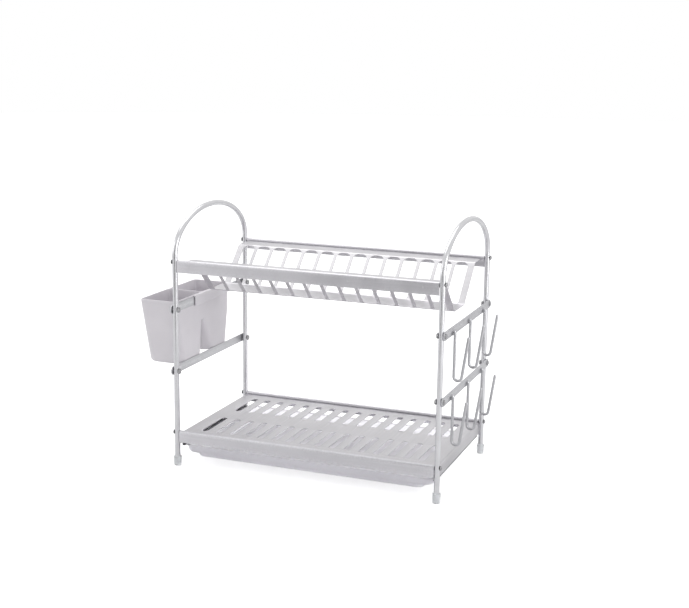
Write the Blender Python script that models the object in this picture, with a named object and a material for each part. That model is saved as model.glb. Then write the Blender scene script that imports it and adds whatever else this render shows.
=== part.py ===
"""A two-tier dish drying rack: two arched end frames joined by four rails, with a slotted plate
tray, a slotted lower shelf, a drip tray that slides out, crossbars, cup hooks and a cutlery holder.

X runs along the rack, Y from front to back and Z up. The origin is on the floor, at the middle of
the whole rack's outline.
"""

import math

import bmesh
import bpy
from mathutils import Vector

# Overall sizes, in metres. Leg spacings are measured between tube centres.
LEG_SPACING_X = 0.403
LEG_SPACING_Y = 0.2334
FRAME_HEIGHT = 0.380
ARCH_RISE = 0.064

# End frame tube and its foot caps.
TUBE_RADIUS = 0.004
TUBE_WALL = 0.001
CAP_WALL = 0.00155
CAP_FLOOR = 0.003
CAP_HEIGHT = 0.0147
CAP_EDGE = 0.0022

# Rails: a flat strip with a round screw port along its top and a ledge for the sheet.
RAIL_HEIGHT = 0.018
RAIL_STRIP = 0.0016
PORT_RADIUS = 0.003
LEDGE_THICKNESS = 0.0014
LEDGE_OVERLAP = 0.0035
UPPER_RAIL_BELOW_ARCH = 0.005
LOWER_RAIL_TOP = 0.0545

# Screws through the legs into the rails.
SCREW_RADIUS = 0.0016
SCREW_HEAD_RADIUS = 0.0034
SCREW_HEAD_HEIGHT = 0.0022
SCREW_BITE = 0.012

# Crossbars outside the legs, with their bolts and cap nuts.
BAR_HEIGHT = 0.0126
BAR_THICKNESS = 0.0018
UPPER_BAR_BELOW_RAIL = 0.0555
BAR_SPACING = 0.0923
BOLT_RADIUS = 0.0019
BOLT_HEAD_RADIUS = 0.0038
BOLT_HEAD_HEIGHT = 0.0018
NUT_RADIUS = 0.0041
NUT_HEIGHT = 0.0028
NUT_THREAD_DEPTH = 0.0015

# Cup hooks of bent wire, three on each right-hand crossbar.
HOOK_WIRE_RADIUS = 0.0021
HOOK_PITCH = 0.079
HOOKS_PER_BAR = 3
HOOK_DROP = 0.0704
HOOK_BEND_RADIUS = 0.0056
HOOK_NECK_RADIUS = 0.0026
HOOK_SLANT = math.radians(8.2)
HOOK_TIP_BELOW_BAR = 0.0068

# Bent sheet of both trays.
SHEET = 0.0012
SHEET_CORNER = 0.006

# Plate tray: a trough with a rib between every two slots.
TRAY_END_TO_LEG = 0.0042
TROUGH_DEPTH = 0.0535
TROUGH_HALF_WIDTH = 0.0245
TROUGH_SLOPE = math.radians(45.0)
TROUGH_CORNER = 0.004
PLATE_SLOTS = 14
RIB_WIDTH = 0.0053
END_RIB_WIDTH = 0.010

# Lower shelf: a flat sheet with two rows of slots and a folded flange at each end.
SHELF_END_INSIDE_LEG = 0.002
DRAIN_SLOTS = 16
DRAIN_SLOT_WIDTH = 0.009
DRAIN_SLOT_SPAN = 0.340
DRAIN_SLOT_INNER = 0.020
DRAIN_SLOT_OUTER = 0.092
FLANGE_BELOW_RAIL = 0.004
FLANGE_CORNER = 0.003

# Channels along the inside of the flanges, which carry the drip tray's rim.
RUNNER_WALL = 0.0012
RUNNER_HEIGHT = 0.0072
RUNNER_WIDTH = 0.0045
RUNNER_ON_FLANGE = 0.0035
RUNNER_END_GAP = 0.004

# Drip tray: a shallow basin with a shelf all round, hung by its rim.
DRIP_SIDE_CLEARANCE = 0.0011
DRIP_RIM_WIDTH = 0.0028
DRIP_END_RIM = 0.0015
DRIP_WALL = 0.0016
DRIP_RIM_THICKNESS = 0.0016
DRIP_SHELF_DEPTH = 0.0098
DRIP_DEPTH = 0.0082
DRIP_SHELF_X = 0.015
DRIP_SHELF_Y = 0.008
DRIP_TAPER = 0.0015
DRIP_CORNER = 0.015
DRIP_BODY_CORNER = 0.010

# Cutlery holder: two cups side by side, hung on the upper left crossbar.
HOLDER_FROM_LEG = 0.0117
CUP_LENGTH = 0.0865
HOLDER_DEPTH = 0.0601
HOLDER_HEIGHT = 0.0990
HOLDER_RIM_ABOVE_BAR = 0.0024
HOLDER_WALL = 0.0018
HOLDER_CORNER = 0.005
HOLDER_BASE_CORNER = 0.018
HOLDER_ROUND = 0.005
HOLDER_DRAFT = 0.0025
FIRST_CUP_LEAN = 0.013
SECOND_CUP_LEAN = 0.022
HOLDER_WEB_HEIGHT = 0.043
TAB_FROM_FRONT = 0.055
TAB_LENGTH = 0.108
TAB_DROP = 0.0142

# Gaps and how finely round shapes are drawn.
FIT_GAP = 0.0003
FRAME_GAP = 0.0005
TUBE_SIDES = 12
SMALL_SIDES = 12
ARCH_STEPS = 22
BEND_STEPS = 4

# Heights and places that follow from the sizes above.
ARCH_SPRING = FRAME_HEIGHT - ARCH_RISE
UPPER_RAIL_TOP = ARCH_SPRING - UPPER_RAIL_BELOW_ARCH
HALF_X = LEG_SPACING_X / 2
HALF_Y = LEG_SPACING_Y / 2
LEG_INNER_X = HALF_X - TUBE_RADIUS
LEG_OUTER_X = HALF_X + TUBE_RADIUS
RAIL_HALF_LENGTH = LEG_INNER_X - FIT_GAP
SHEET_DROP = 2 * PORT_RADIUS - FIT_GAP - SHEET
SHEET_HALF_Y = HALF_Y - TUBE_RADIUS - FRAME_GAP
BAR_INNER_X = LEG_OUTER_X + FIT_GAP
BAR_OUTER_X = BAR_INNER_X + BAR_THICKNESS
UPPER_BAR_Z = UPPER_RAIL_TOP - RAIL_HEIGHT - UPPER_BAR_BELOW_RAIL
LOWER_BAR_Z = UPPER_BAR_Z - BAR_SPACING
SHELF_TOP = LOWER_RAIL_TOP - SHEET_DROP
SHELF_HALF_X = HALF_X - SHELF_END_INSIDE_LEG
FLANGE_BOTTOM = LOWER_RAIL_TOP - RAIL_HEIGHT - FLANGE_BELOW_RAIL
RUNNER_TOP = FLANGE_BOTTOM + RUNNER_ON_FLANGE
RUNNER_OUTER_X = SHELF_HALF_X - SHEET - FIT_GAP
RUNNER_HALF_Y = SHEET_HALF_Y - RUNNER_END_GAP
DRIP_HALF_X = min(RUNNER_OUTER_X - RUNNER_WALL, LEG_INNER_X) - DRIP_SIDE_CLEARANCE
RIM_UNDER = RUNNER_TOP - RUNNER_HEIGHT + RUNNER_WALL + FIT_GAP
HOLDER_RIM_Z = UPPER_BAR_Z + BAR_HEIGHT / 2 + HOLDER_RIM_ABOVE_BAR
HOLDER_BOTTOM_Z = HOLDER_RIM_Z - HOLDER_HEIGHT
HOLDER_FRONT_Y = -HALF_Y + HOLDER_FROM_LEG
HOLDER_DIVIDER_Y = HOLDER_FRONT_Y + CUP_LENGTH
HOLDER_BACK_Y = HOLDER_DIVIDER_Y + CUP_LENGTH


def material(name, colour, roughness, metallic, alpha=1.0):
    """A plain material with one colour and finish."""
    made = bpy.data.materials.new(name)
    made.use_nodes = True
    shader = made.node_tree.nodes["Principled BSDF"]
    shader.inputs["Base Color"].default_value = (*colour, 1.0)
    shader.inputs["Roughness"].default_value = roughness
    shader.inputs["Metallic"].default_value = metallic
    shader.inputs["Alpha"].default_value = alpha
    return made


def placed(name, mesh, finish, location=(0, 0, 0), turn=0.0):
    """An object for a mesh, turned about the vertical and set in place."""
    made = bpy.data.objects.new(name, mesh)
    bpy.context.scene.collection.objects.link(made)
    made.location = location
    made.rotation_euler = (0, 0, turn)
    made.parent = RACK
    if not mesh.materials:
        mesh.materials.append(finish)
    return made


def mesh_from(bm, name):
    """A mesh from a bmesh, with its faces turned outward and round faces smooth."""
    bmesh.ops.recalc_face_normals(bm, faces=bm.faces)
    mesh = bpy.data.meshes.new(name)
    bm.to_mesh(mesh)
    bm.free()
    mesh.shade_smooth()
    mesh.set_sharp_from_angle(angle=math.radians(35))
    return mesh


def loft(rings, name, closed=False):
    """Joins rings of points into one skin. A closed loft comes back to its first ring."""
    bm = bmesh.new()
    levels = [[bm.verts.new(p) for p in ring] for ring in rings]
    pairs = list(zip(levels, levels[1:]))
    if closed:
        pairs.append((levels[-1], levels[0]))
    count = len(rings[0])
    for one, other in pairs:
        for k in range(count):
            bm.faces.new((one[k], one[(k + 1) % count], other[(k + 1) % count], other[k]))
    if not closed:
        bm.faces.new(levels[0])
        bm.faces.new(levels[-1])
    return mesh_from(bm, name)


def circle(radius, sides):
    """Points round a circle, as pairs."""
    turns = [2 * math.pi * (k + 0.5) / sides for k in range(sides)]
    return [(radius * math.cos(t), radius * math.sin(t)) for t in turns]


def arc(centre, radius, start, end, steps):
    """Points along an arc between two angles, both ends included."""
    angles = [start + (end - start) * k / steps for k in range(steps + 1)]
    return [(centre[0] + radius * math.cos(a), centre[1] + radius * math.sin(a)) for a in angles]


def turned_z(profile, sides, name):
    """A solid turned about Z from (radius, height) pairs, with flat ends."""
    return loft([[(x, y, z) for x, y in circle(r, sides)] for r, z in profile], name)


def turned_x(profile, sides, name):
    """A solid turned about X from (radius, distance) pairs, with flat ends."""
    return loft([[(d, y, z) for y, z in circle(r, sides)] for r, d in profile], name)


def path_rings(path, radius, sides, across):
    """Rings round a flat path, square to it. The path's plane is square to across."""
    rings = []
    for k, point in enumerate(path):
        before = path[max(k - 1, 0)]
        after = path[min(k + 1, len(path) - 1)]
        along = (after - before).normalized()
        side = along.cross(across)
        rings.append([point + side * a + across * b for a, b in circle(radius, sides)])
    return rings


def prism_x(outline, low, high, name):
    """An outline of (y, z) pairs drawn out along X."""
    return loft([[(x, y, z) for y, z in outline] for x in (low, high)], name)


def prism_y(outline, low, high, name):
    """An outline of (x, z) pairs drawn out along Y."""
    return loft([[(x, y, z) for x, z in outline] for y in (low, high)], name)


def block(low, high, name):
    """A box between two corners."""
    corners = [(low[1], low[2]), (high[1], low[2]), (high[1], high[2]), (low[1], high[2])]
    return prism_x(corners, low[0], high[0], name)


def rods_x(places, radius, low, high, name):
    """Round rods along X at several (y, z) places, for cutting holes."""
    bm = bmesh.new()
    for y, z in places:
        ends = [
            [bm.verts.new((x, y + a, z + b)) for a, b in circle(radius, SMALL_SIDES)]
            for x in (low, high)
        ]
        for k in range(SMALL_SIDES):
            n = (k + 1) % SMALL_SIDES
            bm.faces.new((ends[0][k], ends[0][n], ends[1][n], ends[1][k]))
        bm.faces.new(ends[0])
        bm.faces.new(ends[1])
    return mesh_from(bm, name)


def combined(mesh, steps, name):
    """The mesh after a list of (operation, other mesh) steps."""
    work = bpy.data.objects.new(name, mesh)
    bpy.context.scene.collection.objects.link(work)
    others = []
    for operation, other in steps:
        tool = bpy.data.objects.new("tool", other)
        bpy.context.scene.collection.objects.link(tool)
        modifier = work.modifiers.new(operation.lower(), "BOOLEAN")
        modifier.operation = operation
        modifier.object = tool
        others.append(tool)
    bpy.context.view_layer.update()
    graph = bpy.context.evaluated_depsgraph_get()
    made = bpy.data.meshes.new_from_object(work.evaluated_get(graph))
    made.name = name
    for used in [work, *others]:
        bpy.data.objects.remove(used)
    made.shade_smooth()
    made.set_sharp_from_angle(angle=math.radians(35))
    return made


def folded(points, radii, steps):
    """A line of points with each inner corner rounded to its radius."""
    made = [points[0]]
    for before, corner, after, radius in zip(points, points[1:], points[2:], radii):
        one = (Vector(before) - Vector(corner)).normalized()
        two = (Vector(after) - Vector(corner)).normalized()
        half = one.angle(two) / 2
        centre = Vector(corner) + (one + two).normalized() * (radius / math.sin(half))
        start = Vector(corner) + one * (radius / math.tan(half)) - centre
        finish = Vector(corner) + two * (radius / math.tan(half)) - centre
        turn = math.pi - 2 * half
        if start.x * finish.y - start.y * finish.x < 0:
            turn = -turn
        first = math.atan2(start.y, start.x)
        made += arc(centre, radius, first, first + turn, steps)
    made.append(points[-1])
    return [tuple(p) for p in made]


def sheet(line, stations, is_open, place, name):
    """A folded sheet: a line of points drawn out over the stations, less its open cells.

    line holds the sheet's upper side as pairs, place turns (pair, station) into a point, and
    is_open says whether the cell after line point i and station j is cut away.
    """
    below = []
    for k, point in enumerate(line):
        before = Vector(line[max(k - 1, 0)])
        after = Vector(line[min(k + 1, len(line) - 1)])
        here = Vector(point)
        one = (here - before) if k else (after - here)
        two = (after - here) if k < len(line) - 1 else (here - before)
        mean = one.normalized() + two.normalized()
        normal = Vector((-mean.y, mean.x)).normalized()
        stretch = 1 / max(normal.dot(Vector((-one.y, one.x)).normalized()), 0.5)
        below.append(tuple(here - normal * SHEET * stretch))
    bm = bmesh.new()
    used = {}

    def corner(side, i, j):
        if (side, i, j) not in used:
            used[side, i, j] = bm.verts.new(place((line, below)[side][i], stations[j]))
        return used[side, i, j]

    def solid(i, j):
        inside = 0 <= i < len(line) - 1 and 0 <= j < len(stations) - 1
        return inside and not is_open(i, j)

    for i in range(len(line) - 1):
        for j in range(len(stations) - 1):
            if not solid(i, j):
                continue
            ring = [(i, j), (i + 1, j), (i + 1, j + 1), (i, j + 1)]
            for side in (0, 1):
                bm.faces.new([corner(side, *c) for c in ring])
            next_cells = [(i, j - 1), (i + 1, j), (i, j + 1), (i - 1, j)]
            for k, cell in enumerate(next_cells):
                if not solid(*cell):
                    a, b = ring[k], ring[(k + 1) % 4]
                    bm.faces.new((corner(0, *a), corner(0, *b), corner(1, *b), corner(1, *a)))
    return mesh_from(bm, name)


def rounded_box(x0, x1, y0, y1, z, radius):
    """A level ring of points round a rectangle with round corners."""
    centres = [
        (x1 - radius, y1 - radius, 0),
        (x0 + radius, y1 - radius, 1),
        (x0 + radius, y0 + radius, 2),
        (x1 - radius, y0 + radius, 3),
    ]
    ring = []
    for x, y, quarter in centres:
        start = quarter * math.pi / 2
        ring += [(a, b, z) for a, b in arc((x, y), radius, start, start + math.pi / 2, BEND_STEPS)]
    return ring


def crossing_places():
    """Where screws and bolts cross an end frame, as lists of (y, z)."""
    screws = []
    bolts = []
    for side in (-1, 1):
        for rail_top in (LOWER_RAIL_TOP, UPPER_RAIL_TOP):
            screws.append((side * HALF_Y, rail_top - PORT_RADIUS))
        for bar_z in (LOWER_BAR_Z, UPPER_BAR_Z):
            bolts.append((side * HALF_Y, bar_z))
    return screws, bolts


def end_frame_mesh():
    """One bent tube: two legs joined by a half-ellipse arch, drilled for screws and bolts."""
    foot = CAP_FLOOR + FIT_GAP
    arch = []
    for k in range(ARCH_STEPS + 1):
        angle = math.pi * (1 - k / ARCH_STEPS)
        arch.append(Vector((0, HALF_Y * math.cos(angle), ARCH_SPRING + ARCH_RISE * math.sin(angle))))
    path = [Vector((0, -HALF_Y, foot)), *arch, Vector((0, HALF_Y, foot))]
    across = Vector((1, 0, 0))
    outer = path_rings(path, TUBE_RADIUS, TUBE_SIDES, across)
    inner = path_rings(path, TUBE_RADIUS - TUBE_WALL, TUBE_SIDES, across)
    tube = loft(outer + inner[::-1], "bent_tube", closed=True)
    screws, bolts = crossing_places()
    reach = TUBE_RADIUS * 2
    screw_holes = rods_x(screws, SCREW_RADIUS + FIT_GAP, -reach, reach, "screw_holes")
    bolt_holes = rods_x(bolts, BOLT_RADIUS + FIT_GAP, -reach, reach, "bolt_holes")
    steps = [("DIFFERENCE", screw_holes), ("DIFFERENCE", bolt_holes)]
    return combined(tube, steps, "end_frame_tube")


def foot_cap_mesh():
    """A soft cup that the end of a leg stands in, flat underneath."""
    inner = TUBE_RADIUS + FIT_GAP
    outer = inner + CAP_WALL
    profile = [(outer - CAP_EDGE, 0)]
    profile += arc((outer - CAP_EDGE, CAP_EDGE), CAP_EDGE, -math.pi / 2, 0, 3)[1:]
    profile += [(outer, CAP_HEIGHT), (inner, CAP_HEIGHT), (inner, CAP_FLOOR)]
    return turned_z(profile, TUBE_SIDES, "foot_cap")


def rail_mesh():
    """The front rail's section drawn out along X. Its origin is on its port's axis."""
    face = -PORT_RADIUS
    low = PORT_RADIUS - RAIL_HEIGHT
    ledge_end = HALF_Y - SHEET_HALF_Y + LEDGE_OVERLAP
    ledge_top = -PORT_RADIUS
    root = PORT_RADIUS / 2
    outline = [(face, low), (face + RAIL_STRIP, low)]
    outline += [(face + RAIL_STRIP, ledge_top - LEDGE_THICKNESS)]
    outline += [(ledge_end, ledge_top - LEDGE_THICKNESS), (ledge_end, ledge_top)]
    outline += [(root, ledge_top)]
    outline += arc((0, 0), PORT_RADIUS, math.radians(-60), math.pi, 10)
    bar = prism_x(outline, -RAIL_HALF_LENGTH, RAIL_HALF_LENGTH, "rail_bar")
    reach = RAIL_HALF_LENGTH + PORT_RADIUS
    port = rods_x([(0, 0)], SCREW_RADIUS + FIT_GAP, -reach, reach, "port")
    return combined(bar, [("DIFFERENCE", port)], "rail")


def headed_mesh(head_radius, head_height, shank_radius, shank_length, name):
    """A low domed head above X = 0, with its shank running towards -X."""
    dome = arc((0, 0), 1.0, 0, math.radians(70), 3)
    profile = [(shank_radius, -shank_length), (shank_radius, 0), (head_radius, 0)]
    profile += [(head_radius * c, head_height * (0.25 + 0.75 * s)) for c, s in dome]
    return turned_x(profile, SMALL_SIDES, name)


def cap_nut_mesh():
    """A domed nut with a blind hole facing +X, at X = 0."""
    hole = BOLT_RADIUS + FIT_GAP
    dome = arc((0, 0), 1.0, math.radians(70), 0, 3)
    profile = [(NUT_RADIUS * c, -NUT_HEIGHT * (0.55 + 0.45 * s)) for c, s in dome]
    profile += [(NUT_RADIUS, 0), (hole, 0), (hole, -NUT_THREAD_DEPTH)]
    return turned_x(profile, SMALL_SIDES, "cap_nut")


def crossbar_mesh(hook_places):
    """A flat bar with round ends, drilled for its bolts and for any hooks."""
    radius = BAR_HEIGHT / 2
    outline = arc((HALF_Y, 0), radius, -math.pi / 2, math.pi / 2, 6)
    outline += arc((-HALF_Y, 0), radius, math.pi / 2, 3 * math.pi / 2, 6)
    bar = prism_x(outline, 0, BAR_THICKNESS, "bar")
    low = -BAR_THICKNESS
    high = BAR_THICKNESS * 2
    bolts = rods_x([(-HALF_Y, 0), (HALF_Y, 0)], BOLT_RADIUS + FIT_GAP, low, high, "bolt_holes")
    steps = [("DIFFERENCE", bolts)]
    if hook_places:
        places = [(y, 0) for y in hook_places]
        holes = rods_x(places, HOOK_WIRE_RADIUS + FIT_GAP, low, high, "hook_holes")
        steps.append(("DIFFERENCE", holes))
    return combined(bar, steps, "crossbar")


def hook_mesh():
    """Bent wire: a peg in the bar, a long shaft, a round bend and a slanting arm."""
    shaft_x = BAR_THICKNESS + FIT_GAP + HOOK_WIRE_RADIUS
    neck = (shaft_x - HOOK_NECK_RADIUS, -HOOK_NECK_RADIUS)
    bend = (shaft_x + HOOK_BEND_RADIUS, HOOK_BEND_RADIUS - HOOK_DROP)
    path = [(FIT_GAP, 0)]
    path += arc(neck, HOOK_NECK_RADIUS, math.pi / 2, 0, BEND_STEPS)
    path += arc(bend, HOOK_BEND_RADIUS, math.pi, 2 * math.pi - HOOK_SLANT, 2 * BEND_STEPS)
    last = path[-1]
    rise = -HOOK_TIP_BELOW_BAR - last[1]
    path.append((last[0] + rise * math.tan(HOOK_SLANT), last[1] + rise))
    points = [Vector((x, 0, z)) for x, z in path]
    return loft(path_rings(points, HOOK_WIRE_RADIUS, SMALL_SIDES, Vector((0, 1, 0))), "hook")


def plate_tray_mesh():
    """The upper sheet, folded into a trough and slotted down both slopes. Z = 0 is its top."""
    run = TROUGH_DEPTH / math.tan(TROUGH_SLOPE)
    half = [(SHEET_HALF_Y, 0), (TROUGH_HALF_WIDTH + run, 0), (TROUGH_HALF_WIDTH, -TROUGH_DEPTH)]
    corners = [(-y, z) for y, z in half] + half[::-1]
    radii = [SHEET_CORNER, TROUGH_CORNER, TROUGH_CORNER, SHEET_CORNER]
    line = folded(corners, radii, BEND_STEPS)
    slope_cells = (BEND_STEPS + 1, len(line) - BEND_STEPS - 3)
    end = LEG_INNER_X - TRAY_END_TO_LEG
    pitch = (2 * end - END_RIB_WIDTH) / PLATE_SLOTS
    first = -end + END_RIB_WIDTH / 2
    stations = [-end, -end + END_RIB_WIDTH]
    for k in range(1, PLATE_SLOTS):
        middle = first + k * pitch
        stations += [middle - RIB_WIDTH / 2, middle + RIB_WIDTH / 2]
    stations += [end - END_RIB_WIDTH, end]

    def is_slot(i, j):
        return i in slope_cells and j % 2 == 1

    def place(pair, x):
        return (x, pair[0], pair[1])

    return sheet(line, stations, is_slot, place, "plate_tray")


def lower_shelf_mesh():
    """The lower sheet with its end flanges folded down and two rows of drain slots."""
    flange = FLANGE_BOTTOM - SHELF_TOP
    left = [(-SHELF_HALF_X, flange), (-SHELF_HALF_X, 0), (SHELF_HALF_X, 0), (SHELF_HALF_X, flange)]
    line = folded(left, [FLANGE_CORNER, FLANGE_CORNER], BEND_STEPS)
    middle = len(line) // 2
    pitch = DRAIN_SLOT_SPAN / (DRAIN_SLOTS - 1)
    edges = []
    for k in range(DRAIN_SLOTS):
        centre = -DRAIN_SLOT_SPAN / 2 + k * pitch
        edges += [(centre - DRAIN_SLOT_WIDTH / 2, 0), (centre + DRAIN_SLOT_WIDTH / 2, 0)]
    line = line[:middle] + edges + line[middle:]
    inner = DRAIN_SLOT_INNER
    outer = DRAIN_SLOT_OUTER
    stations = [-SHEET_HALF_Y, -outer, -inner, inner, outer, SHEET_HALF_Y]

    def is_slot(i, j):
        return j in (1, 3) and middle <= i < middle + 2 * DRAIN_SLOTS and (i - middle) % 2 == 0

    def place(pair, y):
        return (pair[0], -y, pair[1])

    return sheet(line, stations, is_slot, place, "lower_shelf")


def runner_mesh():
    """The right channel's section drawn out along Y, open towards the middle of the rack."""
    outer = RUNNER_OUTER_X
    inner = outer - RUNNER_WIDTH
    web = outer - RUNNER_WALL
    top = RUNNER_TOP
    low = RUNNER_TOP - RUNNER_HEIGHT
    outline = [(inner, low), (outer, low), (outer, top), (inner, top), (inner, top - RUNNER_WALL)]
    outline += [(web, top - RUNNER_WALL), (web, low + RUNNER_WALL), (inner, low + RUNNER_WALL)]
    return prism_y(outline, -RUNNER_HALF_Y, RUNNER_HALF_Y, "runner")


def drip_tray_mesh():
    """A stepped basin with a flat rim. Z = 0 is the underside of the rim."""
    x = DRIP_HALF_X - DRIP_RIM_WIDTH
    y = SHEET_HALF_Y - DRIP_END_RIM
    shelf = -DRIP_SHELF_DEPTH
    floor = shelf - DRIP_DEPTH
    wall = DRIP_WALL
    taper = DRIP_TAPER

    def ring(inset_x, inset_y, z, radius):
        return rounded_box(-x + inset_x, x - inset_x, -y + inset_y, y - inset_y, z, radius)

    shelf_x = DRIP_SHELF_X
    shelf_y = DRIP_SHELF_Y
    outer = DRIP_CORNER
    inner = DRIP_CORNER - wall
    body = DRIP_BODY_CORNER
    hollow = DRIP_BODY_CORNER - wall
    rings = [
        ring(shelf_x + taper, shelf_y + taper, floor, body),
        ring(shelf_x, shelf_y, shelf, body),
        ring(taper, taper, shelf, outer),
        ring(0, 0, 0, outer),
        ring(-DRIP_RIM_WIDTH, -DRIP_END_RIM, 0, outer),
        ring(-DRIP_RIM_WIDTH, -DRIP_END_RIM, DRIP_RIM_THICKNESS, outer),
        ring(wall, wall, DRIP_RIM_THICKNESS, inner),
        ring(taper + wall, taper + wall, shelf + wall, inner),
        ring(shelf_x + wall, shelf_y + wall, shelf + wall, hollow),
        ring(shelf_x + taper + wall, shelf_y + taper + wall, floor + wall, hollow),
    ]
    return loft(rings, "drip_tray")


def cup_rings(front_top, front_bottom, back, inset, floor, rim, kink):
    """Level rings of one cup of the holder, from its floor to its rim. kink is the height at
    which the front wall stops leaning, and inset is the wall thickness for the hollow inside."""
    rounding = HOLDER_ROUND - inset
    turns = [k * math.pi / 4 for k in range(3)]
    levels = [(floor + rounding * (1 - math.sin(t)), rounding * (1 - math.cos(t))) for t in turns]
    levels = [(z, extra) for z, extra in levels[::-1]] + [(kink, 0), (rim, 0)]
    rings = []
    for z, extra in levels:
        share = min((z - floor) / (kink - floor), 1.0)
        front = front_bottom + (front_top - front_bottom) * share
        draft = HOLDER_DRAFT * (1 - (z - floor) / (rim - floor))
        within = inset + extra
        x_far = -HOLDER_DEPTH + draft + within
        corner = HOLDER_BASE_CORNER + (HOLDER_CORNER - HOLDER_BASE_CORNER) * share
        radius = corner - within
        rings.append(rounded_box(x_far, -within, front + within, back - within, z, radius))
    return rings


def holder_mesh():
    """Two cups in one moulding, with a web between them and a long tab that hooks over the bar.
    X = 0 is the face against the bar, Z = 0 the underside."""
    front = HOLDER_FRONT_Y
    divider = HOLDER_DIVIDER_Y
    back = HOLDER_BACK_Y
    height = HOLDER_HEIGHT
    wall = HOLDER_WALL
    web = height - HOLDER_WEB_HEIGHT
    near = divider + wall / 2
    far = divider - wall / 2
    first = front + FIRST_CUP_LEAN
    second = divider + SECOND_CUP_LEAN
    top = height - 2 * wall
    above = height + wall
    body = loft(cup_rings(front, first, near, 0, 0, height, top), "first_cup")
    other = loft(cup_rings(far, second, back, 0, 0, height, web), "second_cup")
    band_low = (-HOLDER_DEPTH + HOLDER_DRAFT, divider - HOLDER_BASE_CORNER, web)
    band = block(band_low, (0, divider + HOLDER_BASE_CORNER, height), "web")
    first_hollow = loft(cup_rings(front, first, near, wall, wall, above, top), "first_hollow")
    other_hollow = loft(cup_rings(far, second, back, wall, wall, above, web), "second_hollow")
    tab_under = height - HOLDER_RIM_ABOVE_BAR + FIT_GAP
    reach = BAR_THICKNESS + 2 * FIT_GAP
    outline = [(-wall / 2, tab_under), (reach, tab_under), (reach, tab_under - TAB_DROP)]
    outline += [(reach + wall, tab_under - TAB_DROP), (reach + wall, tab_under + wall)]
    outline += [(-wall / 2, tab_under + wall)]
    tab_front = front + TAB_FROM_FRONT
    tab = prism_y(outline, tab_front, tab_front + TAB_LENGTH, "tab")
    joined = [("UNION", other), ("UNION", band), ("UNION", tab)]
    hollows = [("DIFFERENCE", first_hollow), ("DIFFERENCE", other_hollow)]
    return combined(body, joined + hollows, "cutlery_holder")


def side_name(side):
    return "right" if side > 0 else "left"


def end_name(side):
    return "rear" if side > 0 else "front"


def level_name(level):
    return "upper" if level else "lower"


for old in list(bpy.data.objects):
    bpy.data.objects.remove(old)

RACK = bpy.data.objects.new("rack_origin", None)
bpy.context.scene.collection.objects.link(RACK)

satin = material("satin_aluminium", (0.72, 0.72, 0.74), 0.35, 1.0)
sheet_finish = material("tray_aluminium", (0.70, 0.70, 0.73), 0.40, 1.0)
bright = material("bright_steel", (0.62, 0.62, 0.63), 0.22, 1.0)
clear_cap = material("clear_rubber", (0.72, 0.73, 0.74), 0.45, 0.0, 0.8)
white_plastic = material("white_plastic", (0.80, 0.78, 0.82), 0.40, 0.0)
drip_plastic = material("frosted_plastic", (0.82, 0.82, 0.84), 0.45, 0.0)
dark_plastic = material("grey_plastic", (0.16, 0.16, 0.17), 0.50, 0.0)

half_turn = math.pi
frame_mesh = end_frame_mesh()
cap_mesh = foot_cap_mesh()
rail = rail_mesh()
hook_places = [(k - (HOOKS_PER_BAR - 1) / 2) * HOOK_PITCH for k in range(HOOKS_PER_BAR)]
plain_bar = crossbar_mesh([])
hooked_bar = crossbar_mesh(hook_places)
hook = hook_mesh()
screw_length = 2 * TUBE_RADIUS + 2 * FIT_GAP + SCREW_BITE
screw = headed_mesh(
    SCREW_HEAD_RADIUS, SCREW_HEAD_HEIGHT, SCREW_RADIUS, screw_length, "rail_screw"
)
bolt_length = BAR_THICKNESS + 2 * TUBE_RADIUS + 3 * FIT_GAP + NUT_THREAD_DEPTH - FIT_GAP
bolt = headed_mesh(BOLT_HEAD_RADIUS, BOLT_HEAD_HEIGHT, BOLT_RADIUS, bolt_length, "bar_bolt")
nut = cap_nut_mesh()

for side in (-1, 1):
    turn = 0.0 if side > 0 else half_turn
    placed(f"end_frame_{side_name(side)}", frame_mesh, satin, (side * HALF_X, 0, 0))
    for end in (-1, 1):
        where = f"{end_name(end)}_{side_name(side)}"
        leg_y = end * HALF_Y
        placed(f"foot_cap_{where}", cap_mesh, clear_cap, (side * HALF_X, leg_y, 0))
        for level, rail_top in enumerate((LOWER_RAIL_TOP, UPPER_RAIL_TOP)):
            spot = (side * (LEG_OUTER_X + FIT_GAP), leg_y, rail_top - PORT_RADIUS)
            placed(f"rail_screw_{level_name(level)}_{where}", screw, bright, spot, turn)
        for level, bar_z in enumerate((LOWER_BAR_Z, UPPER_BAR_Z)):
            head = (side * (BAR_OUTER_X + FIT_GAP), leg_y, bar_z)
            seat = (side * (LEG_INNER_X - FIT_GAP), leg_y, bar_z)
            placed(f"bar_bolt_{level_name(level)}_{where}", bolt, bright, head, turn)
            placed(f"cap_nut_{level_name(level)}_{where}", nut, bright, seat, turn)
    for level, bar_z in enumerate((LOWER_BAR_Z, UPPER_BAR_Z)):
        bar = hooked_bar if side > 0 else plain_bar
        spot = (side * BAR_INNER_X, 0, bar_z)
        placed(f"crossbar_{level_name(level)}_{side_name(side)}", bar, satin, spot, turn)
    placed(f"drip_tray_runner_{side_name(side)}", runner_mesh(), dark_plastic, turn=turn)

for end in (-1, 1):
    for level, rail_top in enumerate((LOWER_RAIL_TOP, UPPER_RAIL_TOP)):
        turn = 0.0 if end < 0 else half_turn
        spot = (0, end * HALF_Y, rail_top - PORT_RADIUS)
        placed(f"rail_{level_name(level)}_{end_name(end)}", rail, satin, spot, turn)

for level, bar_z in enumerate((LOWER_BAR_Z, UPPER_BAR_Z)):
    for number, hook_y in enumerate(hook_places, start=1):
        spot = (BAR_INNER_X, hook_y, bar_z)
        placed(f"cup_hook_{level_name(level)}_{number}", hook, satin, spot)

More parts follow.
